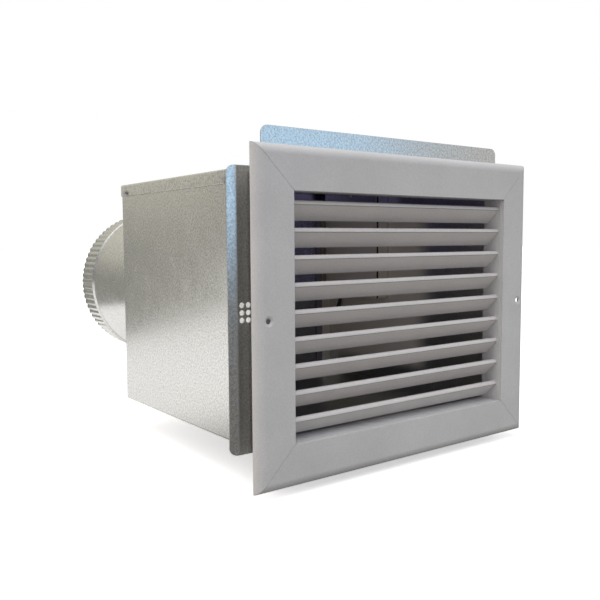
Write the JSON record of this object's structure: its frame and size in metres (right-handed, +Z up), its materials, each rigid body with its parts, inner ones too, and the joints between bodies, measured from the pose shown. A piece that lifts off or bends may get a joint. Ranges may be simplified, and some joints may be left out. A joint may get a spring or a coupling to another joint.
{
  "type": "heat recovery unit",
  "caption": "Wall-mounted heat recovery unit: galvanised casing with louvred room grille, flange tabs, round duct collar, reversing fan and ceramic heat store.",
  "frame": {"origin": "centre of the casing's mouth in the plane of the flange tabs' room-side face, which is also the centre of the flange holes", "axes": "+Y runs from the room into the wall along the duct, +Z is up, +X is to the right seen from the room"},
  "size_m": [0.317, 0.5015, 0.268],
  "materials": {
    "galvanised": "zinc-coated sheet with fine spangle, satin",
    "zinc_fasteners": "zinc-plated, satin",
    "grille_white": "white powder coat, satin",
    "black_rubber": "matte",
    "board_green": "satin solder mask",
    "terminal_plastic": "matte",
    "black_plastic": "fine moulded grain",
    "guard_wire": "black coated wire",
    "motor_copper": "lacquered copper winding",
    "bearing_steel": "ground steel",
    "magnet_grey": "matte ferrite",
    "filter_media": "open fibre mat",
    "ceramic_core": "unglazed, fine-pored",
    "sleeve_foam": "expanded foam beads"
  },
  "bodies": {
    "casing": {"casing_shell": "galvanised", "top_cover": "galvanised", "cover_screws": "zinc_fasteners", "back_panel": "galvanised", "duct_collar": "galvanised", "collar_rivets": "zinc_fasteners", "grille_top": "grille_white", "grille_bottom": "grille_white", "grille_left": "grille_white", "grille_right": "grille_white", "corner_keys": "zinc_fasteners", "louvre_channel_left": "grille_white", "louvre_channel_right": "grille_white", "louvre_rail_top": "grille_white", "louvre_rail_bottom": "grille_white", "louvre_blade_1": "grille_white", "louvre_blade_2": "grille_white", "louvre_blade_3": "grille_white", "louvre_blade_4": "grille_white", "louvre_blade_5": "grille_white", "louvre_blade_6": "grille_white", "louvre_blade_7": "grille_white", "louvre_blade_8": "grille_white", "louvre_blade_9": "grille_white", "wiring_box": "galvanised", "wiring_cover": "galvanised", "wiring_gasket": "black_rubber", "wiring_screws": "zinc_fasteners", "control_board": "board_green", "board_standoffs": "zinc_fasteners", "terminal_block": "terminal_plastic", "power_supply": "black_plastic", "cable_gland": "black_plastic", "gland_nut": "black_plastic", "lead_grommet": "black_rubber", "fan_lead": "black_rubber", "fan_plate": "galvanised", "fan_plate_screws": "zinc_fasteners", "finger_guard": "guard_wire", "fan_shroud": "black_plastic", "motor_stator": "motor_copper", "bearing_front": "bearing_steel", "bearing_rear": "bearing_steel", "filter_frame": "black_plastic", "filter_pad": "filter_media", "heat_store": "ceramic_core", "store_sleeve": "sleeve_foam", "store_seal_front": "black_rubber", "store_seal_rear": "black_rubber", "retaining_ring": "guard_wire"},
    "rotor": {"fan_rotor": "black_plastic", "rotor_magnet": "magnet_grey", "fan_shaft": "bearing_steel", "shaft_clip": "bearing_steel"}
  },
  "joints": [
    {"name": "fan_spin", "type": "hinge", "parent": "casing", "child": "rotor", "pos_m": [0, 0.26, -0.0025], "axis": [0, 1, 0], "continuous": true}
  ]
}
